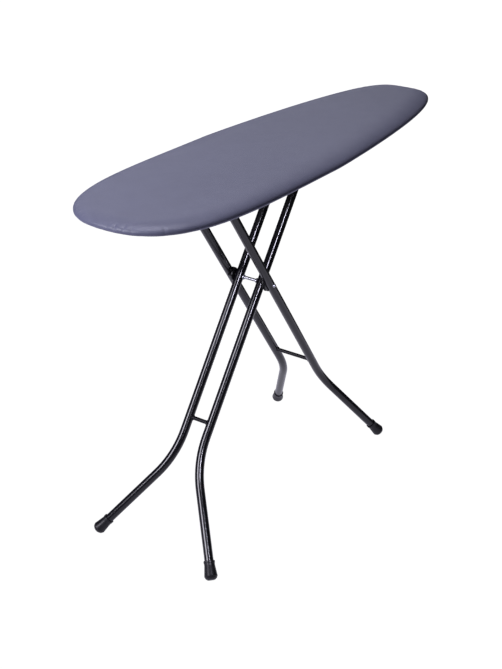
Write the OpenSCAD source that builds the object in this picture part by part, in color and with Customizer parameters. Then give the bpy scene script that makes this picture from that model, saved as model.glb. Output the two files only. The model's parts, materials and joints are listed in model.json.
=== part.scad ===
// Folding ironing board: padded board on two crossing tube frames that fold like scissors.
// Origin: on the floor, under the middle of the board. +X points to the nose, +Z up, +Y left.

/* [Board] */
// Length of the board, wide end to nose
board_l = 1325; // [1200:1:1400]
// Greatest width of the board
board_w = 390; // [360:1:420]
// Thickness of the board over its cover
board_th = 18; // [17:0.5:22]
// Height of the ironing surface over the floor
top_h = 904; // [880:1:930]
// Where the board is widest, from its middle
widest_x = -47; // [-80:1:-20]

/* [Legs] */
// Outside diameter of the leg tube
tube_d = 22; // [20:0.5:24]
// Wall of the leg tube
tube_wall = 1.2; // [1:0.1:1.5]
// Lean of each leg from the vertical, in degrees
leg_angle = 35.4; // [34:0.1:37]
// Distance along the board between the two pairs of feet
foot_spacing = 834; // [800:1:860]
// Where the legs cross, from the middle of the board
pivot_x = -123; // [-150:1:-100]
// Tube spacing of the inner frame, centre to centre
inner_w = 64.6; // [62:0.2:66]
// Tube spacing of the outer frame, centre to centre
outer_w = 118; // [117:0.5:122]
// Half the foot spread of the inner frame
inner_foot_y = 180; // [165:1:185]
// Half the foot spread of the outer frame
outer_foot_y = 177; // [165:1:185]
// Radius of the bend where a leg splays out
bend_r = 240; // [200:5:260]
// Radius of the rubber foot at its widest
foot_r = 16; // [15:0.5:18]

/* [Folding] */
// How far the fold hinge turns from open to folded, in degrees
fold_max = 52.5; // [48:0.5:52.5]
// How far the release lever turns, in degrees
lever_max = 20; // [15:1:20]

/* [Hidden] */
$fn = 48;

// Outline: half width = board_w / 2 * (1 - u ^ p) ^ (1 / q), u from 0 at the widest place to 1 at an end
wide_p = 4.9;
wide_q = 2.4;
nose_p = 1.17;
nose_q = 3.37;
outline_steps = 24;
wide_end_x = -board_l / 2;
nose_x = board_l / 2;

// Layers of the board, from the ironing surface down
cover_t = 1.6;
top_round = 13;
hem_round = 4;
hem_width = 42;
mesh_t = 1.2;
rim_w = 9;
rim_inset = 4.4;
underside_z = top_h - board_th;
rail_z = underside_z + 1.5;
rim_top_z = top_h - 9;
mesh_z = rim_top_z;
pad_z = mesh_z + mesh_t;
// Thickness of each leaf that a slab is hulled from
leaf_t = 0.01;

// Leg geometry. s runs up a leg from the floor, y sideways
tube_r = tube_d / 2;
tube_in_r = tube_r - tube_wall;
pivot_z = foot_spacing / 2 / tan(leg_angle);
lower_arm = pivot_z / cos(leg_angle);
hinge_drop = 22.5;
hinge_z = rail_z - hinge_drop;
upper_arm = (hinge_z - pivot_z) / cos(leg_angle);
inner_corner_s = 250;
outer_corner_s = 265;
inner_bar_s = 351;
outer_bar_s = 354;
tube_over = 12;
tube_end_s = 18;
foot_tip_s = 8;
foot_l = 45;
crossbar_d = 10;
hinge_x = pivot_x - upper_arm * sin(leg_angle);
bar_x = pivot_x + upper_arm * sin(leg_angle);
bar_folded_x = hinge_x + 2 * upper_arm * sin(leg_angle + fold_max);

// Pins, and the clearance of a shaft that turns in its bore
run = 0.05;
rod_r = 4;
pin_r = 4;
bar_r = 3.5;
glide_r = 5;
gap = 0.35;
sheet_t = 2;
ear_in_y = 44.6;
ear_out_y = outer_w / 2 + tube_r + 1.4;
block_in_y = inner_w / 2 + tube_r + 0.6;

// Rack channel, keeper and release gear
channel_y = 14.5;
channel_wall = 2;
channel_deep = 40;
keeper_x0 = bar_x - 27;
keeper_x1 = bar_folded_x + 22;
keeper_y = 10.5;
keeper_block = 6;
keeper_pin_r = 2.5;
notch_pitch = 38;
push_rod_r = 2.5;
push_rod_z = rail_z - 11;
cross_pin_r = 2;
lever_x = -410;
lever_arm = 22;
lever_z = push_rod_z - lever_arm;
lever_y = 5.5;
lever_pin_r = 3;
lever_droop = 12;
lever_ear_y = 10;
rod_travel = lever_arm * tan(lever_max);
keeper_drop = 5;
rail_w = 36;
rail_xs = [-560, lever_x, hinge_x, -120, bar_x + 12, bar_folded_x + 24, 560];
screw_r = 2;
screw_head_r = 4;
screw_spots = [[hinge_x - 14, outer_w / 2], [hinge_x + 14, outer_w / 2],
               [hinge_x - 14, -outer_w / 2], [hinge_x + 14, -outer_w / 2],
               [lever_x - 12, 0], [lever_x + 12, 0],
               [bar_x + 5, 0], [bar_x + 19, 0],
               [bar_folded_x + 17, 0], [bar_folded_x + 31, 0]];

function half_width(x) = let (nose = x > widest_x,
                              u = (x - widest_x) / ((nose ? nose_x : wide_end_x) - widest_x))
    board_w / 2 * pow(1 - pow(u, nose ? nose_p : wide_p), 1 / (nose ? nose_q : wide_q));
// x of a step from -1 (wide end) to 1 (nose), packed closer towards both ends
function step_x(k) = widest_x + ((k < 0 ? wide_end_x : nose_x) - widest_x) * (1 - pow(1 - abs(k), 3));

// The outline's points, anticlockwise from the wide end, and the outward normal at each
side = [for (i = [-outline_steps : outline_steps])
    let (x = step_x(i / outline_steps)) [x, -half_width(x)]];
rim = concat(side, [for (i = [len(side) - 2 : -1 : 1]) [side[i][0], -side[i][1]]]);
rim_n = len(rim);
rim_normal = [for (i = [0 : rim_n - 1])
    let (d = rim[(i + 1) % rim_n] - rim[(i + rim_n - 1) % rim_n]) [d[1], -d[0]] / norm(d)];

module outline() {
    polygon(rim);
}
// Places on a rounded edge: distance in from the outline and height, for corner angles 0 to 90
function edge(inset, z, r, up, angles) =
    [for (a = angles) [inset + r * (1 - cos(a)), z + up * r * (sin(a) - 1)]];

// Shell that follows the outline: outer runs from the hem's edge to the top, inner runs back down
module wrapped_shell(outer, inner) {
    rings = concat(outer, inner);
    last = len(rings) - 1;
    top = len(outer) - 1;
    points = [for (r = rings) for (i = [0 : rim_n - 1])
        [rim[i][0] - rim_normal[i][0] * r[0], rim[i][1] - rim_normal[i][1] * r[0], r[1]]];
    function at(r, i) = (r % (last + 1)) * rim_n + i % rim_n;
    walls = [for (r = [0 : last]) if (r != top) for (i = [0 : rim_n - 1])
        [at(r, i), at(r + 1, i), at(r + 1, i + 1), at(r, i + 1)]];
    caps = [[for (i = [rim_n - 1 : -1 : 0]) at(top, i)], [for (i = [0 : rim_n - 1]) at(top + 1, i)]];
    polyhedron(points = points, faces = concat(walls, caps), convexity = 4);
}

// Slab with the board's outline, its top and bottom edges rounded
module slab(inset, z0, z1, r0, r1) {
    hull() {
        for (a = [0 : 22.5 : 90]) {
            translate([0, 0, z1 - leaf_t - r1 * (1 - sin(a))])
                linear_extrude(leaf_t) offset(delta = -inset - r1 * (1 - cos(a))) outline();
            translate([0, 0, z0 + r0 * (1 - sin(a))])
                linear_extrude(leaf_t) offset(delta = -inset - r0 * (1 - cos(a))) outline();
        }
    }
}
module ring_y(r_out, r_in, y0, y1) {
    translate([0, y1, 0]) rotate([90, 0, 0]) difference() {
        cylinder(r = r_out, h = y1 - y0);
        translate([0, 0, -1]) cylinder(r = r_in, h = y1 - y0 + 2);
    }
}
module rod_y(r, y0, y1) {
    translate([0, y1, 0]) rotate([90, 0, 0]) cylinder(r = r, h = y1 - y0);
}
module rod_x(r, x0, x1) {
    translate([x0, 0, 0]) rotate([0, 90, 0]) cylinder(r = r, h = x1 - x0);
}
module box(x0, x1, y0, y1, z0, z1) {
    translate([x0, y0, z0]) cube([x1 - x0, y1 - y0, z1 - z0]);
}
module both_sides() {
    children();
    mirror([0, 1, 0]) children();
}
module right() {
    mirror([0, 1, 0]) children();
}

// ---- Board

module cover() {
    outer = concat([[hem_width, underside_z]],
                   edge(0, underside_z, hem_round, -1, [90 : -45 : 0]),
                   edge(0, top_h, top_round, 1, [0 : 22.5 : 90]));
    inner = concat(edge(cover_t, top_h - cover_t, top_round - cover_t, 1, [90 : -22.5 : 0]),
                   edge(cover_t, rail_z, hem_round - cover_t, -1, [0 : 45 : 90]),
                   [[hem_width, rail_z]]);
    color("#6f7088") wrapped_shell(outer, inner);
}
module pad() {
    color("#d8d4c8") intersection() {
        slab(cover_t + 0.05, rail_z, top_h - cover_t - 0.05, 2, top_round - cover_t);
        box(wide_end_x, nose_x, -board_w, board_w, pad_z, top_h);
    }
}
module mesh_top() {
    hole_l = 62;
    hole_w = 24;
    pitch_x = 74;
    pitch_y = 17;
    color("#2b2b2e") translate([0, 0, mesh_z]) linear_extrude(mesh_t) difference() {
        offset(delta = -rim_inset - 0.6) outline();
        intersection() {
            offset(delta = -rim_inset - 16) outline();
            for (row = [-10 : 10], col = [-9 : 9])
                translate([(col + (abs(row) % 2) / 2) * pitch_x, row * pitch_y])
                    polygon([[-hole_l / 2, 0], [0, -hole_w / 4], [hole_l / 2, 0], [0, hole_w / 4]]);
        }
    }
}
module rim_frame() {
    color("#2b2b2e") translate([0, 0, rail_z]) linear_extrude(rim_top_z - rail_z) difference() {
        offset(delta = -rim_inset) outline();
        offset(delta = -rim_inset - rim_w) outline();
    }
}
// Where the rim frame's inner edge crosses x
function inside_rim_y(x) = let (slope = half_width(x + 0.5) - half_width(x - 0.5))
    half_width(x) - (rim_inset + rim_w) * sqrt(1 + slope * slope);
module screw_holes() {
    for (p = screw_spots) translate([p[0], p[1], rail_z - 10]) cylinder(r = screw_r, h = 16);
}
module cross_rails() {
    color("#2b2b2e") difference() {
        for (x = rail_xs) {
            y = min(inside_rim_y(x - rail_w / 2), inside_rim_y(x + rail_w / 2)) - 0.7;
            difference() {
                box(x - rail_w / 2, x + rail_w / 2, -y, y, rail_z, mesh_z);
                box(x - rail_w / 2 + 1.5, x + rail_w / 2 - 1.5, -y - 1, y + 1, rail_z + 1.5, mesh_z + 1);
            }
        }
        screw_holes();
    }
}
module hinge_bracket() {
    difference() {
        union() {
            box(hinge_x - 22, hinge_x + 22, ear_in_y, ear_out_y + sheet_t, rail_z - sheet_t, rail_z);
            for (y = [ear_in_y, ear_out_y]) {
                box(hinge_x - 15, hinge_x + 15, y, y + sheet_t, hinge_z, rail_z - sheet_t);
                translate([hinge_x, 0, hinge_z]) rod_y(15, y, y + sheet_t);
            }
        }
        translate([hinge_x, 0, hinge_z]) rod_y(pin_r, ear_in_y - 1, ear_out_y + 5);
        screw_holes();
    }
}
module hinge_pin() {
    translate([hinge_x, 0, hinge_z]) {
        rod_y(pin_r, ear_in_y, ear_out_y + sheet_t);
        translate([0, ear_out_y + sheet_t, 0]) rotate([-90, 0, 0]) cylinder(r1 = 7, r2 = 4.5, h = 2.5);
    }
}
module hinge_bracket_left() { color("#26262a") hinge_bracket(); }
module hinge_bracket_right() { color("#26262a") right() hinge_bracket(); }
module hinge_pin_left() { color("silver") hinge_pin(); }
module hinge_pin_right() { color("silver") right() hinge_pin(); }

// Channel under the board: the slider bar runs in its slots, notches above the slots
module rack_channel() {
    x0 = keeper_x0 - 9;
    x1 = keeper_x1 + 20;
    slot_r = glide_r + gap;
    color("#26262a") difference() {
        box(x0, x1, -channel_y, channel_y, rail_z - channel_deep, rail_z);
        box(x0 - 1, x1 + 1, -channel_y + channel_wall, channel_y - channel_wall,
            rail_z - channel_deep - 1, rail_z - sheet_t);
        // slot for the bar
        box(bar_x, bar_folded_x, -20, 20, hinge_z - slot_r, hinge_z + slot_r);
        for (x = [bar_x, bar_folded_x]) translate([x, 0, hinge_z]) rod_y(slot_r, -20, 20);
        // notches for the ironing heights
        for (i = [0 : 6]) translate([bar_x + i * notch_pitch, 0, hinge_z + 4]) rod_y(slot_r, -20, 20);
        // slanted slots for the keeper's pins
        for (x = [keeper_x0, keeper_x1]) translate([x, 0, hinge_z]) {
            slant = atan2(keeper_drop, rod_travel);
            rod_y(keeper_pin_r + gap, -20, 20);
            translate([rod_travel, 0, -keeper_drop]) rod_y(keeper_pin_r + gap, -20, 20);
            rotate([0, slant, 0]) box(0, norm([rod_travel, keeper_drop]), -20, 20,
                                      -keeper_pin_r - gap, keeper_pin_r + gap);
        }
        screw_holes();
    }
}
module keeper_rail() {
    fork_z = push_rod_z - cross_pin_r - gap;
    color("#3a3a40") difference() {
        union() {
            box(keeper_x0 - keeper_block, keeper_x1 + keeper_block, -keeper_y, keeper_y,
                hinge_z - glide_r - 2.4, hinge_z - glide_r - 0.4);
            box(keeper_x0 - keeper_block, keeper_x0 + keeper_block, -keeper_y, keeper_y,
                hinge_z - glide_r - 2.4, rail_z - 3.2);
            box(keeper_x1 - keeper_block, keeper_x1 + keeper_block, -keeper_y, keeper_y,
                hinge_z - glide_r - 2.4, hinge_z + 7);
        }
        // fork that the push rod's cross pin drives
        box(keeper_x0 - 10, keeper_x0 + 10, -push_rod_r - 1, push_rod_r + 1, fork_z - 1, rail_z);
        box(keeper_x0 - cross_pin_r - gap, keeper_x0 + cross_pin_r + gap, -20, 20, fork_z, rail_z);
        for (x = [keeper_x0, keeper_x1]) translate([x, 0, hinge_z]) rod_y(keeper_pin_r, -20, 20);
    }
}
module keeper_pins() {
    color("silver") for (x = [keeper_x0, keeper_x1])
        translate([x, 0, hinge_z]) rod_y(keeper_pin_r, -channel_y - 2, channel_y + 2);
}
module push_rod() {
    color("silver") translate([0, 0, push_rod_z]) {
        rod_x(push_rod_r, lever_x, keeper_x0);
        translate([lever_x, 0, 0]) rod_y(cross_pin_r, -lever_y, lever_y);
        translate([keeper_x0, 0, 0]) rod_y(cross_pin_r, -keeper_y + 1, keeper_y - 1);
    }
}
module rod_guide() {
    color("#26262a") difference() {
        box(hinge_x - 1, hinge_x + 1, -8, 8, push_rod_z - 5, rail_z);
        translate([0, 0, push_rod_z]) rod_x(push_rod_r + run, hinge_x - 5, hinge_x + 5);
    }
}
module lever_bracket() {
    color("#26262a") difference() {
        union() {
            box(lever_x - 18, lever_x + 18, -lever_ear_y - 2, lever_ear_y + 2, rail_z - sheet_t, rail_z);
            both_sides() {
                box(lever_x - 9, lever_x + 9, lever_ear_y, lever_ear_y + 2, lever_z, rail_z - sheet_t);
                translate([lever_x, 0, lever_z]) rod_y(9, lever_ear_y, lever_ear_y + 2);
            }
        }
        translate([lever_x, 0, lever_z]) rod_y(lever_pin_r, -20, 20);
        screw_holes();
    }
}
module lever_pin() {
    color("silver") translate([lever_x, 0, lever_z]) {
        rod_y(lever_pin_r, -lever_ear_y - 2, lever_ear_y + 2);
        both_sides() rod_y(5, lever_ear_y + 2, lever_ear_y + 3.5);
    }
}
// Close-wound torsion spring beside the lever's hub
module lever_spring() {
    wire_r = 0.6;
    coil_r = 5;
    color("silver") translate([lever_x, 0, lever_z]) {
        for (i = [0 : 2])
            translate([0, lever_y + 0.9 + i * 2 * wire_r, 0]) rotate([90, 0, 0])
                rotate_extrude() translate([coil_r, 0]) circle(r = wire_r);
        translate([coil_r, lever_y + 0.9 + 4 * wire_r, 0]) cylinder(r = wire_r, h = 24);
    }
}
module lever_blade() {
    rotate([0, -lever_droop, 0]) rod_x(3, -100, -7);
}
module release_lever() {
    color("#26262a") translate([lever_x, 0, lever_z]) difference() {
        union() {
            rod_y(8, -lever_y, lever_y);
            box(-5.5, 5.5, -lever_y, lever_y, 0, lever_arm + 5);
            lever_blade();
        }
        rod_y(lever_pin_r + run, -10, 10);
        box(-10, 10, -push_rod_r - 1, push_rod_r + 1, lever_arm - push_rod_r - 3, lever_arm + 10);
        box(-cross_pin_r - gap, cross_pin_r + gap, -10, 10, lever_arm - cross_pin_r - gap, lever_arm + 10);
    }
}
module lever_grip() {
    color("#1c1c20") translate([lever_x, 0, lever_z]) difference() {
        rotate([0, -lever_droop, 0]) {
            rod_x(7.5, -98, -42);
            translate([-98, 0, 0]) sphere(r = 7.5);
            translate([-42, 0, 0]) sphere(r = 7.5);
        }
        lever_blade();
    }
}
module bracket_screws() {
    color("silver") for (p = screw_spots) translate([p[0], p[1], 0]) {
        translate([0, 0, rail_z - sheet_t]) cylinder(r = screw_r, h = sheet_t + 3);
        translate([0, 0, rail_z - sheet_t - 1.8]) cylinder(r1 = 2.8, r2 = screw_head_r, h = 1.8);
    }
}

// ---- Leg frames, drawn upright about the pivot and then leaned

module lean_inner() {
    translate([pivot_x, 0, pivot_z]) rotate([0, leg_angle, 0]) children();
}
module lean_outer() {
    translate([pivot_x, 0, pivot_z]) rotate([0, -leg_angle, 0]) children();
}
function splay(half_w, foot_y, corner_s) = atan2(foot_y - half_w, corner_s);
module at_floor_point(half_w, foot_y, corner_s) {
    translate([0, foot_y, -lower_arm]) rotate([splay(half_w, foot_y, corner_s), 0, 0]) children();
}
// Solid bar along a leg's centreline: parallel, bent and splayed stretches
module leg_bar(r, half_w, foot_y, corner_s, over) {
    beta = splay(half_w, foot_y, corner_s);
    tangent = bend_r * tan(beta / 2);
    bend_z = corner_s + tangent - lower_arm;
    straight = norm([foot_y - half_w, corner_s]) - tangent;
    translate([0, half_w, bend_z]) cylinder(r = r, h = upper_arm + tube_over - bend_z + over);
    translate([0, half_w + bend_r, bend_z]) rotate([-90, 0, 0]) rotate([0, 90, 0])
        rotate_extrude(angle = beta, $fn = 120) translate([bend_r, 0]) circle(r = r, $fn = 48);
    at_floor_point(half_w, foot_y, corner_s)
        translate([0, 0, tube_end_s - over]) cylinder(r = r, h = straight - tube_end_s + over);
}
module leg_tube(half_w, foot_y, corner_s, pivot_bore, top_bore) {
    difference() {
        leg_bar(tube_r, half_w, foot_y, corner_s, 0);
        leg_bar(tube_in_r, half_w, foot_y, corner_s, 1);
        rod_y(pivot_bore, 0, 100);
        translate([0, 0, upper_arm]) rod_y(top_bore, 0, 100);
    }
}
module crossbar(half_w, s) {
    translate([0, 0, s - lower_arm]) difference() {
        rod_y(crossbar_d / 2, -half_w, half_w);
        both_sides() translate([0, half_w, -20]) cylinder(r = tube_r, h = 40);
    }
}
// Ribbed plastic plug in the top of a tube
module end_cap(half_w) {
    translate([0, half_w, upper_arm + tube_over]) {
        cylinder(r1 = tube_r, r2 = tube_r - 1, h = 2);
        translate([0, 0, -6]) cylinder(r = tube_in_r, h = 6);
    }
}
// Rubber ferrule over the foot of a leg, cut flat at the floor
module foot(half_w, foot_y, corner_s) {
    at_floor_point(half_w, foot_y, corner_s) translate([0, 0, foot_tip_s]) rotate_extrude()
        polygon([[0, 0], [9, 0], [foot_r - 2.5, 3.5], [foot_r, 9], [foot_r - 0.6, 14],
                 [12.9, foot_l - 11], [12.9, foot_l - 6], [13.6, foot_l - 5], [13.6, foot_l],
                 [tube_r, foot_l], [tube_r, tube_end_s - foot_tip_s],
                 [0, tube_end_s - foot_tip_s]]);
}
module above_floor() {
    difference() {
        children();
        translate([0, 0, -50]) cube([2 * board_l, 2 * board_w, 100], center = true);
    }
}

module outer_tube() {
    lean_outer() leg_tube(outer_w / 2, outer_foot_y, outer_corner_s, rod_r, pin_r + run);
}
module outer_tube_left() { color("#232327") outer_tube(); }
module outer_tube_right() { color("#232327") right() outer_tube(); }
module outer_crossbar() { color("#232327") lean_outer() crossbar(outer_w / 2, outer_bar_s); }
module outer_end_cap_left() { color("#1a1a1c") lean_outer() end_cap(outer_w / 2); }
module outer_end_cap_right() { color("#1a1a1c") lean_outer() right() end_cap(outer_w / 2); }
module outer_foot() {
    above_floor() lean_outer() foot(outer_w / 2, outer_foot_y, outer_corner_s);
}
module outer_foot_left() { color("#161616") outer_foot(); }
module outer_foot_right() { color("#161616") right() outer_foot(); }
module pivot_rod() {
    color("silver") translate([pivot_x, 0, pivot_z])
        rod_y(rod_r, -outer_w / 2 - tube_r - 1, outer_w / 2 + tube_r + 1);
}
module pivot_cap() {
    translate([pivot_x, outer_w / 2, pivot_z]) difference() {
        translate([0, tube_r - 1.5, 0]) intersection() {
            sphere(r = 5.5);
            rod_y(5, 0, 10);
        }
        rod_y(rod_r, -1, tube_r + 1);
        rotate([0, -leg_angle, 0]) cylinder(r = tube_r, h = 40, center = true);
    }
}
module pivot_cap_left() { color("silver") pivot_cap(); }
module pivot_cap_right() { color("silver") right() pivot_cap(); }
// Plastic spacer that hugs the outer tube and bears on the inner one, with a lug below
module pivot_block() {
    saddle_y = outer_w / 2 - 3;
    web_y = outer_w / 2 - tube_r - 0.2;
    difference() {
        union() {
            translate([pivot_x, 0, pivot_z]) {
                rod_y(16.5, block_in_y, web_y);
                translate([-1, 0, -14.5]) rod_y(5.5, block_in_y, web_y);
            }
            lean_outer() difference() {
                box(-13.5, 13.5, block_in_y + 0.5, saddle_y, -13, 13);
                translate([0, outer_w / 2, -20]) cylinder(r = tube_r, h = 40);
            }
        }
        translate([pivot_x, 0, pivot_z]) rod_y(rod_r, 0, 100);
    }
}
module pivot_block_left() { color("#101012") pivot_block(); }
module pivot_block_right() { color("#101012") right() pivot_block(); }
module rod_collar() {
    translate([pivot_x, 0, pivot_z])
        ring_y(6.5, rod_r, inner_w / 2 - tube_r - 3, inner_w / 2 - tube_r - 0.6);
}
module rod_collar_left() { color("silver") rod_collar(); }
module rod_collar_right() { color("silver") right() rod_collar(); }

module inner_tube() {
    lean_inner() leg_tube(inner_w / 2, inner_foot_y, inner_corner_s, rod_r + run, bar_r);
}
module inner_tube_left() { color("#232327") inner_tube(); }
module inner_tube_right() { color("#232327") right() inner_tube(); }
module inner_crossbar() { color("#232327") lean_inner() crossbar(inner_w / 2, inner_bar_s); }
module inner_end_cap_left() { color("#1a1a1c") lean_inner() end_cap(inner_w / 2); }
module inner_end_cap_right() { color("#1a1a1c") lean_inner() right() end_cap(inner_w / 2); }
module inner_foot() {
    above_floor() lean_inner() foot(inner_w / 2, inner_foot_y, inner_corner_s);
}
module inner_foot_left() { color("#161616") inner_foot(); }
module inner_foot_right() { color("#161616") right() inner_foot(); }
module slider_bar() {
    color("silver") translate([bar_x, 0, hinge_z])
        rod_y(bar_r, -inner_w / 2 - tube_r + 0.5, inner_w / 2 + tube_r - 0.5);
}
// Nylon glides that run in the channel's slots
module slider_glides() {
    color("white") translate([bar_x, 0, hinge_z]) both_sides() {
        ring_y(glide_r, bar_r, channel_y - channel_wall - 0.5, channel_y + 0.9);
        ring_y(7.5, bar_r, channel_y + 0.9, channel_y + 3);
    }
}

cover();
pad();
mesh_top();
rim_frame();
cross_rails();
hinge_bracket_left();
hinge_bracket_right();
hinge_pin_left();
hinge_pin_right();
rack_channel();
rod_guide();
lever_bracket();
lever_pin();
lever_spring();
bracket_screws();
release_lever();
lever_grip();
push_rod();
keeper_rail();
keeper_pins();
outer_tube_left();
outer_tube_right();
outer_crossbar();
outer_end_cap_left();
outer_end_cap_right();
outer_foot_left();
outer_foot_right();
pivot_rod();
pivot_cap_left();
pivot_cap_right();
pivot_block_left();
pivot_block_right();
rod_collar_left();
rod_collar_right();
inner_tube_left();
inner_tube_right();
inner_crossbar();
inner_end_cap_left();
inner_end_cap_right();
inner_foot_left();
inner_foot_right();
slider_bar();
slider_glides();
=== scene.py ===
"""Looks of the folding ironing board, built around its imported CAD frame.

Metres, in the CAD's own frame: +X to the nose, +Y left, +Z up, the floor at z = 0.
"""
import json
import math

import bmesh
import bpy
from mathutils import Matrix, Vector, noise


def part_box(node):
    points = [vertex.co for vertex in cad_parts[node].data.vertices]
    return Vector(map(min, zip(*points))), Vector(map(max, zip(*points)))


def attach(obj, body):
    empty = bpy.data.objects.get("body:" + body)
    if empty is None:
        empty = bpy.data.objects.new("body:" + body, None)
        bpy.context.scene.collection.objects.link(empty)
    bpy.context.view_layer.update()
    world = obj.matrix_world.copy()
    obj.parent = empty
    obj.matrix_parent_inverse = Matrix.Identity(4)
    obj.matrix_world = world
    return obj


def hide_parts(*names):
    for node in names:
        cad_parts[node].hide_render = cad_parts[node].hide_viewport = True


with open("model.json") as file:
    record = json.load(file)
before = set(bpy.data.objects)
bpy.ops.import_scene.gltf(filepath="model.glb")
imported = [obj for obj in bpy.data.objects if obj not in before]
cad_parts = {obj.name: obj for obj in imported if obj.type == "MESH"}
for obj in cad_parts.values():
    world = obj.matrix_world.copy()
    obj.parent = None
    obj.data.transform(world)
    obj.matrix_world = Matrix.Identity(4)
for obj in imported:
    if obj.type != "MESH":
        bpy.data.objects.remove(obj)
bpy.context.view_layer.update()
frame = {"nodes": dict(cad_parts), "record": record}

NODES = frame["nodes"]


# ---- Driving sizes

COVER_LOW, COVER_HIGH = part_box("cover")
WIDE_END_X = COVER_LOW.x
NOSE_X = COVER_HIGH.x
HALF_WIDTH = COVER_HIGH.y
TOP_Z = COVER_HIGH.z
UNDERSIDE_Z = COVER_LOW.z
WIDEST_X = -0.047           # where the board is widest
WIDE_POWERS = (4.9, 2.4)    # powers of the outline's curve from there to the wide end
NOSE_POWERS = (1.17, 3.37)  # and from there to the nose

CROWN = 0.003           # the pad lifts the cloth this much above the CAD's flat top
RIM_SOFT = 0.044        # how far in from the rim the padded edge starts to fall: at the wide end,
RIM_SOFT_SIDE = 0.070   # along the sides
RIM_SOFT_NOSE = 0.054   # and at the nose
RIM_FALL = 0.0145       # how far it falls
TUCK_IN = 0.0065        # the lower edge rolls under the steel rim over this distance
TUCK_UP = 0.0060        # and starts this high above the hem
HEM_WIDTH = 0.042
CLOTH_T = 0.0009
CASING_W = 0.009        # the drawcord casing along the hem's edge
CASING_DROP = 0.0030
COVER_TOP_ROWS = 12
PAD_TOP_ROWS = 6
STITCH_PITCH = 0.0036
STITCH_REACH = 0.0014   # half the length of one stitch
THREAD_W = 0.00028      # half the thread's width and height
THREAD_H = 0.00026

MESH_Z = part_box("mesh_top")[0].z
MESH_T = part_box("mesh_top")[1].z - MESH_Z
MESH_INSET = 0.0075     # the strands end this far in from the outline
BORDER_OUT, BORDER_IN = 0.0052, 0.0105
CELL_LENGTH, CELL_WIDTH = 0.0130, 0.0112
STRAND_W = 0.0011
PAD_LOW = MESH_Z + MESH_T

LEG_ANGLE = math.radians(35.4)
TUBE_R = 0.011
INNER_Y = 0.0323
OUTER_Y = 0.059
CROSSBAR_R = 0.005
WELD_R = 0.00165

LEVER_DROOP = math.radians(12)
GRIP_FROM, GRIP_TO, GRIP_R = 0.042, 0.098, 0.0075   # distances from the lever's pin
RIB_PITCH, RIB_DEPTH = 0.0062, 0.0009
SPRING_TURNS, SPRING_R, SPRING_PITCH, WIRE_R = 2.9, 0.005, 0.00125, 0.0006

# where the board is seen from: the camera's place, its angles and its focal length in mm
CAMERA_PLACE = (-2.4122, -1.5345, 1.7991)
CAMERA_HEADING, CAMERA_PITCH, CAMERA_ROLL = (math.radians(a) for a in (33.77, -26.36, 0.66))
CAMERA_LENS = 65.6


# ---- Helpers

def make_mesh(name, verts, faces, smooth=True):
    mesh = bpy.data.meshes.new(name)
    mesh.from_pydata([tuple(v) for v in verts], [], faces)
    mesh.update()
    obj = bpy.data.objects.new(name, mesh)
    bpy.context.scene.collection.objects.link(obj)
    if smooth:
        for polygon in mesh.polygons:
            polygon.use_smooth = True
    return obj


def apply_modifiers(obj):
    graph = bpy.context.evaluated_depsgraph_get()
    mesh = bpy.data.meshes.new_from_object(obj.evaluated_get(graph))
    obj.modifiers.clear()
    old = obj.data
    obj.data = mesh
    bpy.data.meshes.remove(old)


def finish_piece(obj, body, material, replaces=()):
    """Give a piece its material, tie it to its body, and hide the CAD nodes it replaces."""
    obj.data.materials.clear()
    obj.data.materials.append(material)
    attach(obj, body)
    if replaces:
        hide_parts(*replaces)
    return obj


def face_outwards(obj):
    """Turn every face the same way round, with the highest one facing up."""
    mesh = bmesh.new()
    mesh.from_mesh(obj.data)
    bmesh.ops.recalc_face_normals(mesh, faces=mesh.faces)
    top = max(mesh.faces, key=lambda f: f.calc_center_median().z)
    if top.normal.z < 0:
        bmesh.ops.reverse_faces(mesh, faces=mesh.faces)
    mesh.to_mesh(obj.data)
    mesh.free()


def ring_faces(rings, n, closed=False, base=0):
    """Quads between rings of n points each, and from the last to the first ring if closed."""
    faces = []
    for ring in range(rings if closed else rings - 1):
        here, there = base + ring * n, base + (ring + 1) % rings * n
        for i in range(n):
            j = (i + 1) % n
            faces.append((here + i, there + i, there + j, here + j))
    return faces


def faces_across(n):
    """Faces that fill one ring of n points, from its one long side to the other."""
    faces = []
    for i in range(n // 2):
        a, b = (n - i) % n, n - i - 1
        faces.append(tuple(dict.fromkeys([i, i + 1, b, a])))
    return faces


def bar_faces(base, rows):
    """Sides and ends of a bar with four corners in each of its rows."""
    faces = []
    for row in range(base, base + 4 * (rows - 1), 4):
        for k in range(4):
            m = (k + 1) % 4
            faces.append((row + k, row + m, row + 4 + m, row + 4 + k))
    last = base + 4 * (rows - 1)
    faces.append((base + 3, base + 2, base + 1, base))
    faces.append((last, last + 1, last + 2, last + 3))
    return faces


def distances(points):
    """Distance from the first point to each, along the line through them."""
    lengths = [0.0]
    for a, b in zip(points, points[1:]):
        lengths.append(lengths[-1] + (b - a).length)
    return lengths


# ---- Outline of the board

def half_width(x):
    """Half the board's width at x: two curves of powers p and q that meet at WIDEST_X."""
    nose = x > WIDEST_X
    p, q = NOSE_POWERS if nose else WIDE_POWERS
    u = (x - WIDEST_X) / ((NOSE_X if nose else WIDE_END_X) - WIDEST_X)
    return HALF_WIDTH * max(0.0, 1 - min(1.0, abs(u)) ** p) ** (1 / q)


def smooth(t):
    """0 below 0, 1 above 1, and an even slope between."""
    t = min(1.0, max(0.0, t))
    return t * t * (3 - 2 * t)


def rim_soft(x):
    """The padded edge is rounder along the sides, where the cover draws the pad in more."""
    side = RIM_SOFT + (RIM_SOFT_SIDE - RIM_SOFT) * smooth((x + 0.50) / 0.50)
    return side + (RIM_SOFT_NOSE - RIM_SOFT_SIDE) * smooth((x - 0.40) / 0.22)


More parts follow.
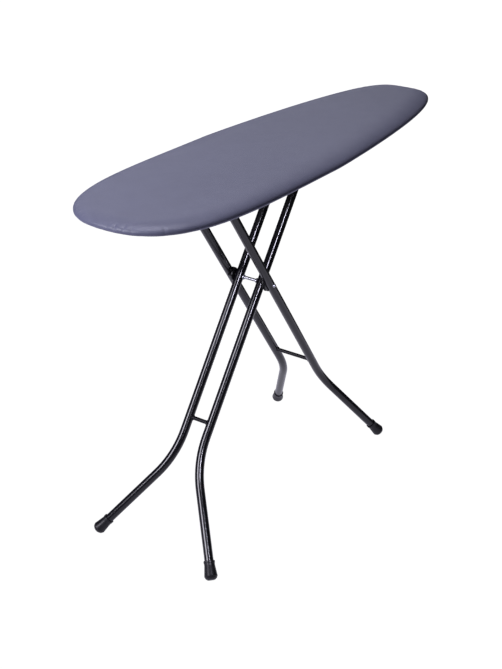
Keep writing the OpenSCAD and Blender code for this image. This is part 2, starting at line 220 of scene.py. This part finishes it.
def even_side(steps):
    """Points along one side, wide end to nose, the same distance apart."""
    fine = []
    fine_steps = 4000
    for i in range(-fine_steps, fine_steps + 1):
        t = abs(i) / fine_steps
        end = WIDE_END_X if i < 0 else NOSE_X
        x = WIDEST_X + (end - WIDEST_X) * (1 - (1 - t) ** 3)
        fine.append(Vector((x, half_width(x))))
    lengths = distances(fine)
    side, k = [], 0
    for i in range(steps + 1):
        want = lengths[-1] * i / steps
        while k < len(lengths) - 2 and lengths[k + 1] < want:
            k += 1
        share = (want - lengths[k]) / max(1e-12, lengths[k + 1] - lengths[k])
        side.append(fine[k].lerp(fine[k + 1], share))
    return side


class Outline:
    """The closed outline: its points, and at each its outward normal, its bend in radians per
    metre and the width of the soft edge."""

    def __init__(self, steps):
        side = even_side(steps)
        right = [Vector((p.x, -p.y)) for p in side]
        left = [p.copy() for p in side[-2:0:-1]]
        self.points = right + left
        self.n = len(self.points)
        self.step = (side[1] - side[0]).length
        self.soft = [rim_soft(p.x) for p in self.points]
        self.normals = []
        self.bend = []
        for i in range(self.n):
            d = self.points[(i + 1) % self.n] - self.points[i - 1]
            self.normals.append(Vector((d.y, -d.x)).normalized())
        for i in range(self.n):
            turn = self.normals[i - 1].angle(self.normals[(i + 1) % self.n])
            self.bend.append(turn / (2 * self.step))

    def at(self, i, inset):
        return self.points[i] - self.normals[i] * inset

    def flat_edge(self, i):
        """Where the flat top ends and the padded edge starts to fall."""
        return self.at(i, self.soft[i])


OUTLINE = Outline(620)
SPINE_FROM = WIDE_END_X + 0.19
SPINE_TO = NOSE_X - 0.13


def spine_point(p):
    """The place on the board's middle line that p is joined to."""
    return Vector((min(max(p.x, SPINE_FROM), SPINE_TO), 0.0))


# ---- Materials

def new_material(name):
    material = bpy.data.materials.new(name)
    material.use_nodes = True
    tree = material.node_tree
    tree.nodes.clear()
    out = tree.nodes.new("ShaderNodeOutputMaterial")
    shader = tree.nodes.new("ShaderNodeBsdfPrincipled")
    tree.links.new(shader.outputs[0], out.inputs["Surface"])
    return material, tree, shader


def node(tree, kind, **values):
    """New node, with each value set on the input of that name or else as a setting."""
    made = tree.nodes.new(kind)
    for key, value in values.items():
        if key in made.inputs:
            made.inputs[key].default_value = value
        else:
            setattr(made, key, value)
    return made


def set_inputs(made, values):
    for name, value in values.items():
        made.inputs[name].default_value = value


def ramp(tree, source, stops):
    """Colour ramp; the colour of a stop is three numbers, or one for a grey."""
    made = tree.nodes.new("ShaderNodeValToRGB")
    elements = made.color_ramp.elements
    while len(elements) < len(stops):
        elements.new(0.5)
    for element, (place, colour) in zip(elements, stops):
        element.position = place
        element.color = (*colour, 1) if hasattr(colour, "__len__") else (colour,) * 3 + (1,)
    tree.links.new(source, made.inputs[0])
    return made.outputs[0]


def bump(tree, height, strength, distance, under=None):
    made = node(tree, "ShaderNodeBump", Strength=strength, Distance=distance)
    tree.links.new(height, made.inputs["Height"])
    if under is not None:
        tree.links.new(under, made.inputs["Normal"])
    return made.outputs[0]


def object_noise(tree, scale, detail=4.0, roughness=0.5, vector=None):
    if vector is None:
        vector = tree.nodes.new("ShaderNodeTexCoord").outputs["Object"]
    made = node(tree, "ShaderNodeTexNoise", Scale=scale, Detail=detail, Roughness=roughness)
    tree.links.new(vector, made.inputs["Vector"])
    return made.outputs[0]


def math_node(tree, operation, a, b):
    made = node(tree, "ShaderNodeMath", operation=operation)
    for socket, value in zip(made.inputs, (a, b)):
        if isinstance(value, (int, float)):
            socket.default_value = value
        else:
            tree.links.new(value, socket)
    return made.outputs[0]


def weighted_sum(tree, *parts):
    """Sum of several (source, weight)."""
    total = None
    for source, weight in parts:
        scaled = math_node(tree, "MULTIPLY", source, weight)
        total = scaled if total is None else math_node(tree, "ADD", total, scaled)
    return total


def fabric_material(name, dark, light, pitch):
    """Plain weave on the cloth's own flat coordinates, with slubs and soft mottling."""
    material, tree, shader = new_material(name)
    cut = node(tree, "ShaderNodeUVMap", uv_map="cut").outputs[0]
    waves = []
    scale = math.tau / (20 * pitch)     # the texture repeats every tau / (20 * scale)
    for axis, phase in (("X", 0.0), ("Y", math.pi / 2)):
        wave = node(tree, "ShaderNodeTexWave", Scale=scale, Distortion=1.2, Detail=2.0,
                    wave_type="BANDS", bands_direction=axis, wave_profile="SIN")
        set_inputs(wave, {"Phase Offset": phase, "Detail Scale": 2.5})
        tree.links.new(cut, wave.inputs["Vector"])
        waves.append(wave.outputs["Fac"])
    weave = math_node(tree, "MULTIPLY", *waves)
    slub = object_noise(tree, 900.0, 3.0, 0.6, cut)
    mottle = object_noise(tree, 26.0, 6.0, 0.62, cut)
    broad = object_noise(tree, 4.5, 3.0, 0.5, cut)
    shade = weighted_sum(tree, (weave, 0.34), (slub, 0.22), (mottle, 0.30), (broad, 0.22))
    tree.links.new(ramp(tree, shade, ((0.22, dark), (0.72, light))), shader.inputs["Base Color"])
    set_inputs(shader, {"Roughness": 0.42, "Specular IOR Level": 0.42, "Sheen Weight": 0.35,
                        "Sheen Roughness": 0.45, "Sheen Tint": (0.62, 0.62, 0.86, 1)})
    fine = bump(tree, weave, 0.35, 0.00025)
    tree.links.new(bump(tree, mottle, 0.18, 0.0012, fine), shader.inputs["Normal"])
    return material


def powder_coat(name, roughness, specular):
    """Black powder coat: a slight peel, and gloss that changes a little with handling."""
    material, tree, shader = new_material(name)
    peel = object_noise(tree, 260.0, 2.0, 0.5)
    wear = object_noise(tree, 38.0, 5.0, 0.6)
    black, worn = (0.0042, 0.0038, 0.0062), (0.008, 0.0075, 0.011)
    tree.links.new(ramp(tree, wear, ((0.3, black), (0.75, worn))), shader.inputs["Base Color"])
    low, high = roughness
    tree.links.new(ramp(tree, wear, ((0.25, low), (0.8, high))), shader.inputs["Roughness"])
    shader.inputs["Specular IOR Level"].default_value = specular
    tree.links.new(bump(tree, peel, 0.004, 0.0001), shader.inputs["Normal"])
    return material


def zinc_plate():
    """Zinc plate: a cloudy grey with fine scratches that run across the board."""
    material, tree, shader = new_material("zinc_plate")
    cloud = object_noise(tree, 160.0, 5.0, 0.6)
    scratch_at = node(tree, "ShaderNodeMapping", Scale=(900.0, 60.0, 900.0))
    tree.links.new(tree.nodes.new("ShaderNodeTexCoord").outputs["Object"], scratch_at.inputs[0])
    scratch = object_noise(tree, 1.0, 2.0, 0.5, scratch_at.outputs[0])
    tree.links.new(ramp(tree, cloud, ((0.3, (0.38, 0.39, 0.42)), (0.7, (0.50, 0.50, 0.53)))),
                   shader.inputs["Base Color"])
    tree.links.new(ramp(tree, scratch, ((0.3, 0.20), (0.7, 0.36))), shader.inputs["Roughness"])
    shader.inputs["Metallic"].default_value = 1.0
    tree.links.new(bump(tree, scratch, 0.12, 0.0001), shader.inputs["Normal"])
    return material


def moulded(name, dark, light, roughness, grain_scale, grain, specular=0.5):
    """Moulded plastic or rubber: a fine spark-eroded grain over broad tone changes."""
    material, tree, shader = new_material(name)
    tone = object_noise(tree, 45.0, 4.0, 0.55)
    texture = object_noise(tree, grain_scale, 2.0, 0.5)
    tree.links.new(ramp(tree, tone, ((0.3, dark), (0.75, light))), shader.inputs["Base Color"])
    low, high = roughness
    tree.links.new(ramp(tree, tone, ((0.3, low), (0.75, high))), shader.inputs["Roughness"])
    shader.inputs["Specular IOR Level"].default_value = specular
    tree.links.new(bump(tree, texture, grain, 0.0003), shader.inputs["Normal"])
    return material


def felt():
    """Needled felt: short pale fibres, cloudy all over."""
    material, tree, shader = new_material("needled_felt")
    fibre = object_noise(tree, 700.0, 6.0, 0.75)
    cloud = object_noise(tree, 30.0, 4.0, 0.6)
    both = weighted_sum(tree, (fibre, 0.6), (cloud, 0.4))
    tree.links.new(ramp(tree, both, ((0.35, (0.52, 0.50, 0.45)), (0.65, (0.80, 0.78, 0.72)))),
                   shader.inputs["Base Color"])
    set_inputs(shader, {"Roughness": 0.95, "Sheen Weight": 0.4})
    tree.links.new(bump(tree, fibre, 0.5, 0.0006), shader.inputs["Normal"])
    return material


FABRIC = fabric_material("cover_cotton", (0.108, 0.110, 0.188), (0.188, 0.192, 0.306), 0.0014)
POWDER = powder_coat("black_powder_coat", (0.165, 0.19), 0.40)
POWDER_BAR = powder_coat("black_powder_coat_bar", (0.38, 0.46), 0.22)
ZINC = zinc_plate()
PLASTIC = moulded("black_plastic", (0.005, 0.005, 0.006), (0.011, 0.011, 0.013), (0.36, 0.48), 900.0,
                  0.10, 0.4)
RUBBER = moulded("black_rubber", (0.0042, 0.0038, 0.0060), (0.008, 0.0074, 0.011), (0.36, 0.46), 700.0,
                 0.05, 0.27)
NYLON = moulded("nylon", (0.66, 0.66, 0.62), (0.80, 0.80, 0.76), (0.35, 0.5), 500.0, 0.08)
set_inputs(NYLON.node_tree.nodes["Principled BSDF"], {"Subsurface Weight": 0.15})
FELT = felt()
THREAD = moulded("thread", (0.16, 0.16, 0.23), (0.26, 0.26, 0.34), (0.7, 0.85), 3000.0, 0.4, 0.2)


# ---- Camera

def place_camera():
    heading, pitch, roll = CAMERA_HEADING, CAMERA_PITCH, CAMERA_ROLL
    data = bpy.data.cameras.new("camera")
    data.sensor_fit = "AUTO"
    data.sensor_width = 36.0
    data.lens = CAMERA_LENS
    data.clip_end = 60.0
    camera = bpy.data.objects.new("camera", data)
    bpy.context.scene.collection.objects.link(camera)
    forward = Vector((math.cos(pitch) * math.cos(heading), math.cos(pitch) * math.sin(heading),
                      math.sin(pitch)))
    level = forward.cross(Vector((0, 0, 1))).normalized()
    upright = level.cross(forward)
    right = level * math.cos(roll) + upright * math.sin(roll)
    up = upright * math.cos(roll) - level * math.sin(roll)
    turn = Matrix((right, up, -forward)).transposed().to_4x4()
    camera.matrix_world = Matrix.Translation(CAMERA_PLACE) @ turn
    bpy.context.scene.camera = camera


# ---- Studio

def area_light(name, place, aim, size, power, colour=(1, 1, 1), long_axis=(0, 0, 1)):
    """Rectangular light that faces aim; its height runs along long_axis."""
    data = bpy.data.lights.new(name, "AREA")
    data.shape = "RECTANGLE"
    data.size, data.size_y = size
    data.energy = power
    data.color = colour
    lamp = bpy.data.objects.new(name, data)
    bpy.context.scene.collection.objects.link(lamp)
    back = (Vector(place) - Vector(aim)).normalized()
    across = Vector(long_axis).cross(back).normalized()
    turn = Matrix((across, back.cross(across), back)).transposed().to_4x4()
    lamp.matrix_world = Matrix.Translation(place) @ turn
    lamp.visible_camera = False
    return lamp


def studio_world():
    """White to the camera, and a dim room to everything else."""
    scene = bpy.context.scene
    scene.view_settings.view_transform = "Standard"
    scene.view_settings.look = "None"
    world = bpy.data.worlds.new("studio")
    scene.world = world
    world.use_nodes = True
    tree = world.node_tree
    tree.nodes.clear()
    out = tree.nodes.new("ShaderNodeOutputWorld")
    seen = node(tree, "ShaderNodeBackground", Color=(1, 1, 1, 1), Strength=1.1)
    room = node(tree, "ShaderNodeBackground", Color=(0.93, 0.94, 1.0, 1), Strength=0.05)
    pick = tree.nodes.new("ShaderNodeMixShader")
    tree.links.new(tree.nodes.new("ShaderNodeLightPath").outputs["Is Camera Ray"], pick.inputs[0])
    tree.links.new(room.outputs[0], pick.inputs[1])
    tree.links.new(seen.outputs[0], pick.inputs[2])
    tree.links.new(pick.outputs[0], out.inputs[0])


def studio_floor():
    """A white disc that shines by itself and is seen by the camera alone."""
    radius, spokes = 14, 96
    angles = [math.tau * k / spokes for k in range(spokes)]
    floor = make_mesh("floor", [(radius * math.cos(a), radius * math.sin(a), 0) for a in angles],
                      [list(range(spokes))], smooth=False)
    material, tree, shader = new_material("studio_floor")
    grey = object_noise(tree, 1.2, 2.0, 0.4)
    tree.links.new(ramp(tree, grey, ((0.3, (0.34, 0.34, 0.34)), (0.7, (0.37, 0.37, 0.37)))),
                   shader.inputs["Base Color"])
    set_inputs(shader, {"Roughness": 0.9, "Specular IOR Level": 0.1,
                        "Emission Color": (1, 1, 1, 1)})
    far = node(tree, "ShaderNodeVectorMath", operation="LENGTH")
    tree.links.new(tree.nodes.new("ShaderNodeTexCoord").outputs["Object"], far.inputs[0])
    reach = math_node(tree, "DIVIDE", far.outputs["Value"], 4.0)
    tree.links.new(ramp(tree, reach, ((0.2, 1.02), (0.8, 1.06))),
                   shader.inputs["Emission Strength"])
    floor.data.materials.append(material)
    floor.visible_diffuse = False
    floor.visible_glossy = False
    floor.visible_shadow = False
    return floor


def reflection_only(lamp):
    """Let a lamp be mirrored in glossy surfaces without lighting matt ones."""
    lamp.visible_diffuse = False
    return lamp


def cover_lights():
    """A key light over the wide end, a weak one from the left, and two for the sheen alone."""
    key = area_light("cover_key", (-2.3, 0.8, 2.6), (-0.2, 0, 0.9), (1.2, 1.2), 74,
                     (0.95, 0.95, 1.0))
    top = area_light("cover_top", (-0.3, 1.9, 3.2), (0, 0, 0.7), (1.6, 1.6), 4, (1.0, 1.0, 0.97))
    shine = area_light("cover_shine", (-0.1, 0.3, 3.4), (-0.6, -0.1, 0.9), (1.1, 1.1), 40,
                       (0.92, 0.92, 1.0))
    back = area_light("cover_back", (2.9, 3.2, 2.7), (0, 0, 0.9), (4.5, 1.5), 33,
                      (0.86, 0.88, 1.0))
    return [key, top, reflection_only(shine), reflection_only(back)]


def metal_lights():
    """A broad light for the tubes, and two strips that draw thin lines along them."""
    lamps = [area_light("key_left", (-5.2, 1.7, 3.5), (0, 0, 0.8), (2.2, 2.2), 325,
                        (0.90, 0.88, 1.0))]
    for name, place, size, power in (("strip_high", (-1.93, -2.33, 2.72), (0.24, 1.1), 135),
                                     ("strip_low", (-2.55, -2.25, 2.0), (0.14, 1.0), 6)):
        strip = area_light(name, place, (-0.1, 0, 0.6), size, power, (0.84, 0.82, 1.0),
                           (0.61, 0.03, 0.79))
        lamps.append(reflection_only(strip))
    return lamps


def light_from_below():
    """Lights the undersides of the cover and of everything else."""
    area_light("under_panel", (-0.55, 0.5, -0.05), (-0.55, 0.5, 1), (3.3, 3.4), 31,
               (0.86, 0.84, 1.0), (0, 1, 0))


def aim_lights(lamps, name, objects):
    """Let these lamps light these objects and nothing else."""
    group = bpy.data.collections.new(name)
    for obj in objects:
        group.objects.link(obj)
    for lamp in lamps:
        lamp.light_linking.receiver_collection = group


# ---- Cover

def shoulder(steps, depth=0.0):
    """Rounded top edge, from the flat top outwards, at a depth under the cover's outer face:
    (share of the soft width, inset, height)."""
    places = []
    for k in range(steps + 1):
        a = math.pi / 2 * (1 - k / steps)
        away = Vector((-math.cos(a) / RIM_SOFT, math.sin(a) / RIM_FALL)).normalized()
        places.append((1 - math.cos(a), -away.x * depth,
                       TOP_Z + CROWN - RIM_FALL * (1 - math.sin(a)) - away.y * depth))
    return places


def cover_profile():
    """Rings of the cover outside its flat top, from the flat top's edge to the hem:
    (share of the soft width, inset, height, distance along the cloth)."""
    places = shoulder(10)
    low = UNDERSIDE_Z
    for k in range(1, 7):       # rolls under the rim
        a = math.pi / 2 * k / 6
        places.append((0, TUCK_IN * (1 - math.cos(a)), low + TUCK_UP * (1 - math.sin(a))))
    casing = HEM_WIDTH - CASING_W
    for k in range(1, 7):       # lies flat under the board
        places.append((0, TUCK_IN + (casing - TUCK_IN) * k / 6, low))
    for k in range(1, 6):       # goes down round the drawcord
        t = k / 5
        places.append((0, casing + CASING_W * t, low - CASING_DROP * math.sin(math.pi * t * 0.86)))
    for k in range(1, 5):       # and turns back over it
        t = k / 4
        places.append((0, HEM_WIDTH - (CASING_W - 0.001) * t,
                       low + 0.0009 - 0.0013 * (1 - t) ** 2))
    rows, far = [], 0.0
    for k, (share, inset, z) in enumerate(places):
        if k:
            share_before, inset_before, z_before = places[k - 1]
            far += math.hypot((share - share_before) * RIM_SOFT + inset - inset_before,
                              z - z_before)
        rows.append((share, inset, z, far))
    return rows


def gather(i, share):
    """How far the cloth stands out of its smooth shape, at place i round the rim; share is 0 at
    the top edge and 1 at the hem. Gathers grow towards the drawn hem and on the curved ends."""
    around = i * OUTLINE.step
    bend = min(1.0, OUTLINE.bend[i] / 8.0)
    waves = noise.noise(Vector((around * 62, 1.7, share * 1.2)))
    broad = noise.noise(Vector((around * 27, 5.1, share)))
    drawn = max(0.0, share - 0.30) / 0.70
    return (0.75 * waves + 0.5 * broad) * drawn ** 1.3 * (0.0006 + 0.0034 * bend)


def pucker(i, share):
    """Small creases where the cloth's ease is caught over the shoulder of the wide end: how
    far the cloth and the felt under it are drawn in."""
    around = i * OUTLINE.step
    bend = min(1.0, OUTLINE.bend[i] / 5.0)
    caught = math.exp(-((around - 0.030) / 0.036) ** 2)
    catch = max(0.6 * caught, min(0.3, noise.noise(Vector((around * 13, 9.4, 4.4)))))
    ripple = 0.5 + 0.5 * math.sin(around * 290 + 2.4 * noise.noise(Vector((around * 40, 0, 7))))
    fold = max(0.0, catch) * (ripple ** 4 - 0.25)
    return 0.0030 * fold * bend * math.exp(-((share - 0.39) / 0.10) ** 2)


def cover_points(profile):
    """Points of the cover's outer face, ring by ring from the middle line to the hem, and the
    place of each on the cloth cut flat."""
    total = profile[-1][3]
    verts, cut = [], []
    for row in range(1, COVER_TOP_ROWS):
        t = row / COVER_TOP_ROWS
        for i in range(OUTLINE.n):
            edge = OUTLINE.flat_edge(i)
            p = spine_point(edge).lerp(edge, t)
            swell = 0.0005 * noise.noise(Vector((p.x * 6, p.y * 8, 0.5))) - 0.0004
            verts.append((p.x, p.y, TOP_Z + CROWN + swell * (1 - t ** 4)))
            cut.append((p.x, p.y))
    for soft, inset, z, far in profile:
        share = far / total
        under = min(1.0, max(0.0, (inset - 0.001) / 0.006)) if soft == 0 else 0.0
        for i in range(OUTLINE.n):
            out, pinch = gather(i, share), pucker(i, share)
            sideways = min(0.0012, out * (1 - under) * 0.7) - pinch * 0.5
            p = OUTLINE.at(i, inset + soft * OUTLINE.soft[i]) + OUTLINE.normals[i] * sideways
            verts.append((p.x, p.y, z - max(-0.0003, out) * under - pinch))
            along = far + (OUTLINE.soft[i] - RIM_SOFT) * (1 - soft)
            flat = OUTLINE.flat_edge(i) + OUTLINE.normals[i] * along
            cut.append((flat.x, flat.y))
    return verts, cut


def build_cover():
    """Fitted cover; its UV map is the cloth cut flat."""
    profile = cover_profile()
    n, total = OUTLINE.n, profile[-1][3]
    verts, cut = cover_points(profile)
    faces = ring_faces(COVER_TOP_ROWS - 1 + len(profile), n) + faces_across(n)
    obj = make_mesh("fitted_cover", verts, faces)
    layer = obj.data.uv_layers.new(name="cut")
    for loop in obj.data.loops:
        layer.data[loop.index].uv = cut[loop.vertex_index]
    face_outwards(obj)
    thick = obj.modifiers.new("cloth", "SOLIDIFY")
    thick.thickness = CLOTH_T
    thick.offset = -1
    apply_modifiers(obj)
    finish_piece(obj, "board", FABRIC, ["cover"])
    return obj


def build_stitches():
    """Lockstitch that closes the drawcord casing, all round under the board."""
    line = HEM_WIDTH - CASING_W - 0.0006
    points = [OUTLINE.at(i, line) for i in range(OUTLINE.n)]
    lengths = distances(points + points[:1])
    verts, faces = [], []
    k, count = 0, int(lengths[-1] / STITCH_PITCH)
    for stitch in range(count):
        want = (stitch + 0.5) * lengths[-1] / count
        while lengths[k + 1] < want:
            k += 1
        share = (want - lengths[k]) / (lengths[k + 1] - lengths[k])
        a, b = points[k], points[(k + 1) % len(points)]
        p = a.lerp(b, share)
        along = (b - a).normalized()
        across = Vector((along.y, -along.x))
        lift = max(-0.0003, gather(k, 0.86))
        faces += bar_faces(len(verts), 5)
        for row in range(5):
            s = row / 4 * 2 - 1
            arch = THREAD_W * (1 - s * s)
            for turn in range(4):
                angle = math.pi / 2 * turn + math.pi / 4
                q = p + along * s * STITCH_REACH + across * math.cos(angle) * THREAD_W
                verts.append((q.x, q.y, UNDERSIDE_Z - lift - arch + math.sin(angle) * THREAD_H))
    obj = make_mesh("hem_stitches", verts, faces)
    return finish_piece(obj, "board", THREAD)


# ---- Felt pad and steel mesh

def pad_rows():
    """Rows of the pad from its middle line over the top, round the edge and back below:
    (kind, share, inset, height)."""
    top = shoulder(8, CLOTH_T + 0.0003)
    edge = [ring for ring in top if ring[2] > PAD_LOW + 0.0008]
    share, inset = edge[-1][:2]
    edge += [(share, inset + 0.0004, PAD_LOW + 0.0004), (share, inset + 0.003, PAD_LOW + 0.0001)]
    above = [("flat", row / PAD_TOP_ROWS, 0, top[0][2]) for row in range(1, PAD_TOP_ROWS)]
    below = [("low", 1 - row / PAD_TOP_ROWS, 0, PAD_LOW + 0.0001)
             for row in range(PAD_TOP_ROWS - 1)]
    return above + [("ring", *ring) for ring in edge] + below


def build_pad():
    """Needled felt between the cover and the mesh, thinned where it runs over the rim."""
    n = OUTLINE.n // 2
    rows = pad_rows()
    cloth_length = cover_profile()[-1][3]
    verts = []
    for kind, share, inset, z in rows:
        for i in range(n):
            drawn = 0.0
            if kind == "ring":
                along = RIM_SOFT * 1.05 * (1 - share)    # about where the cloth over it lies
                drawn = max(0.0, pucker(2 * i, along / cloth_length))
                p = OUTLINE.at(2 * i, inset + share * OUTLINE.soft[2 * i] + drawn * 0.5)
            else:
                rim = OUTLINE.flat_edge(2 * i)
                p = spine_point(rim).lerp(rim, share)
            fuzz = 0.00025 * noise.noise(Vector((p.x * 90, p.y * 90, z * 40)))
            rise = -abs(fuzz) - 0.0003 if kind == "flat" else fuzz
            verts.append((p.x, p.y, max(PAD_LOW + 0.00005, z + rise - drawn)))
    last = (len(rows) - 1) * n
    above = faces_across(n)
    below = [tuple(last + k for k in reversed(face)) for face in above]
    obj = make_mesh("felt_pad", verts, ring_faces(len(rows), n) + above + below)
    face_outwards(obj)
    finish_piece(obj, "board", FELT, ["pad"])
    return obj


def on_mesh(x, y):
    """Whether a strand can end here, at the mesh's border or inside it."""
    if not WIDE_END_X + MESH_INSET < x < NOSE_X - MESH_INSET:
        return False
    slope = (half_width(x + 0.001) - half_width(x - 0.001)) / 0.002
    return abs(y) < half_width(x) - MESH_INSET * math.sqrt(1 + slope * slope)


def strand_points(a, b, tilt):
    """One leg of a diamond, a flat bar with widened ends."""
    along = (b - a).normalized()
    across = Vector((-along.y, along.x))
    points = []
    for share, wide in ((-0.02, 1.35), (0.14, 1.0), (0.86, 1.0), (1.02, 1.35)):
        p = a.lerp(b, share)
        lean = tilt * 0.00022 * (1 - abs(2 * share - 1))
        for side, up in ((-1, 0), (1, 0), (1, 1), (-1, 1)):
            q = p + across * side * STRAND_W * wide * 0.72
            points.append((q.x, q.y, MESH_Z + 0.0001 + up * (MESH_T - 0.0002) + side * lean))
    return points


def build_mesh_top():
    """Expanded steel: flattened strands that part and meet again in long diamonds."""
    verts, faces = [], []
    columns = int((NOSE_X - WIDE_END_X) / CELL_LENGTH) + 1
    lines = int(HALF_WIDTH / CELL_WIDTH) + 1
    for line in range(-lines, lines + 1):
        for column in range(columns):
            up = 1 if (column + line) % 2 else -1
            a = Vector((WIDE_END_X + column * CELL_LENGTH, (line + up * 0.44) * CELL_WIDTH))
            b = Vector((a.x + CELL_LENGTH, (line - up * 0.44) * CELL_WIDTH))
            if on_mesh(*a) and on_mesh(*b):
                faces += bar_faces(len(verts), 4)
                verts += strand_points(a, b, up)
    n = OUTLINE.n // 2
    faces += ring_faces(4, n, closed=True, base=len(verts))
    for inset, up in ((BORDER_OUT, 0.0001), (BORDER_OUT, MESH_T), (BORDER_IN, MESH_T),
                      (BORDER_IN, 0.0001)):
        for i in range(n):
            p = OUTLINE.at(2 * i, inset)
            verts.append((p.x, p.y, MESH_Z + min(up, MESH_T - 0.0001)))
    obj = make_mesh("expanded_mesh", verts, faces, smooth=False)
    return finish_piece(obj, "board", POWDER, ["mesh_top"])


# ---- Small metalwork

def build_weld(name, body, bar, side, tube_y, lean):
    """Fillet weld where a crossbar meets a tube, with the ripples of the torch."""
    low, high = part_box(bar)
    centre = (low + high) / 2
    along = Vector((math.sin(lean), 0, math.cos(lean)))
    across = Vector((math.cos(lean), 0, -math.sin(lean)))
    verts = []
    steps, spokes = 84, 9
    reach = CROSSBAR_R + 0.0006
    for k in range(steps):
        a = math.tau * k / steps
        wander = noise.noise(Vector((3 * math.cos(a), 3 * math.sin(a), side * 7)))
        r = WELD_R * (1 + 0.14 * math.sin(13 * a) + 0.10 * wander)
        u, v = reach * math.cos(a), reach * math.sin(a)
        y = tube_y - math.sqrt(TUBE_R ** 2 - u ** 2) - 0.0004
        ring = centre + across * u + along * v
        out = across * math.cos(a) + along * math.sin(a)
        for m in range(spokes):
            b = math.tau * m / spokes
            p = ring + out * math.cos(b) * r
            verts.append((p.x, side * (y + math.sin(b) * r * 0.9), p.z))
    obj = make_mesh(name, verts, ring_faces(steps, spokes, closed=True))
    return finish_piece(obj, body, POWDER)


def build_welds():
    for side, word in ((1, "left"), (-1, "right")):
        build_weld("inner_weld_" + word, "inner_frame", "inner_crossbar", side, INNER_Y, LEG_ANGLE)
        build_weld("outer_weld_" + word, "outer_frame", "outer_crossbar", side, OUTER_Y, -LEG_ANGLE)


def lever_pin_place():
    low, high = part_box("lever_pin")
    return (low + high) / 2


def grip_radius(s):
    """Radius of the grip at distance s from the lever's pin: ribs between two rounded ends."""
    r = GRIP_R
    if s > GRIP_TO:
        r *= math.sqrt(max(0.0004, 1 - ((s - GRIP_TO) / GRIP_R) ** 2))
    if s < GRIP_FROM:
        r *= 0.72 + 0.28 * math.sqrt(max(0.0, 1 - ((GRIP_FROM - s) / (GRIP_R * 0.6)) ** 2))
    if GRIP_FROM + 0.004 < s < GRIP_TO - 0.002:
        r -= RIB_DEPTH * max(0.0, math.sin((s - GRIP_FROM) * math.tau / RIB_PITCH)) ** 0.6
    return r


def build_grip():
    """Moulded sleeve on the lever, with finger ribs and a rounded end."""
    pin = lever_pin_place()
    along = Vector((-math.cos(LEVER_DROOP), 0, -math.sin(LEVER_DROOP)))
    up = Vector((-math.sin(LEVER_DROOP), 0, math.cos(LEVER_DROOP)))
    side = Vector((0, 1, 0))
    verts = []
    first, last = GRIP_FROM - GRIP_R * 0.55, GRIP_TO + GRIP_R
    steps, spokes = 92, 28
    for k in range(steps + 1):
        s = first + (last - first) * k / steps
        r = grip_radius(s)
        for m in range(spokes):
            b = math.tau * m / spokes
            verts.append(pin + along * s + up * math.sin(b) * r * 0.97
                         + side * math.cos(b) * r * 0.92)
    faces = ring_faces(steps + 1, spokes)
    faces.append(tuple(range(spokes)))
    faces.append(tuple(range(steps * spokes, (steps + 1) * spokes))[::-1])
    obj = make_mesh("ribbed_grip", verts, faces)
    return finish_piece(obj, "lever", PLASTIC, ["lever_grip"])


def build_spring():
    """Torsion spring round the lever's pin: three turns, one leg back over the lever and one up
    to the plate."""
    pin = lever_pin_place()
    y, coil = pin.y + 0.0064, SPRING_R
    points = [Vector((pin.x - 0.017, y, pin.z + 0.0012))]
    per_turn = 24
    for k in range(int(SPRING_TURNS * per_turn) + 1):
        a = math.pi / 2 - math.tau * k / per_turn
        rise = SPRING_PITCH * k / per_turn
        points.append(Vector((pin.x + coil * math.cos(a), y + rise, pin.z + coil * math.sin(a))))
    last_y = points[-1].y
    points.append(Vector((pin.x + coil, last_y, pin.z + 0.006)))
    points.append(Vector((pin.x + coil, last_y, pin.z + 0.024)))
    curve = bpy.data.curves.new("torsion_spring", "CURVE")
    curve.dimensions = "3D"
    curve.bevel_depth = WIRE_R
    curve.bevel_resolution = 3
    curve.use_fill_caps = True
    spline = curve.splines.new("POLY")
    spline.points.add(len(points) - 1)
    for place, p in zip(spline.points, points):
        place.co = (*p, 1)
    obj = bpy.data.objects.new("torsion_spring", curve)
    bpy.context.scene.collection.objects.link(obj)
    return finish_piece(obj, "board", ZINC, ["lever_spring"])


# ---- CAD nodes that keep their shape

def dress_cad_nodes():
    by_slot = {"black_steel": POWDER, "zinc": ZINC, "black_plastic": PLASTIC, "rubber": RUBBER,
               "nylon": NYLON, "felt": FELT, "cover_fabric": FABRIC}
    slots = {s["node"]: s["material_slot"] for s in frame["record"]["subparts"]}
    for name, obj in NODES.items():
        obj.data.materials.clear()
        material = POWDER_BAR if "crossbar" in name else by_slot[slots[name]]
        obj.data.materials.append(material)


# ---- The whole scene

place_camera()
studio_world()
floor = studio_floor()
lamps_for_cover = cover_lights()
lamps_for_metal = metal_lights()
light_from_below()
dress_cad_nodes()
cover_pieces = [build_cover(), build_stitches()]
build_pad()
build_mesh_top()
build_welds()
build_grip()
build_spring()
aim_lights(lamps_for_cover, "lit_as_cover", cover_pieces)
aim_lights(lamps_for_metal, "lit_as_metal",
           [obj for obj in bpy.context.scene.objects
            if obj.type in {"MESH", "CURVE"} and obj not in [floor, *cover_pieces]])
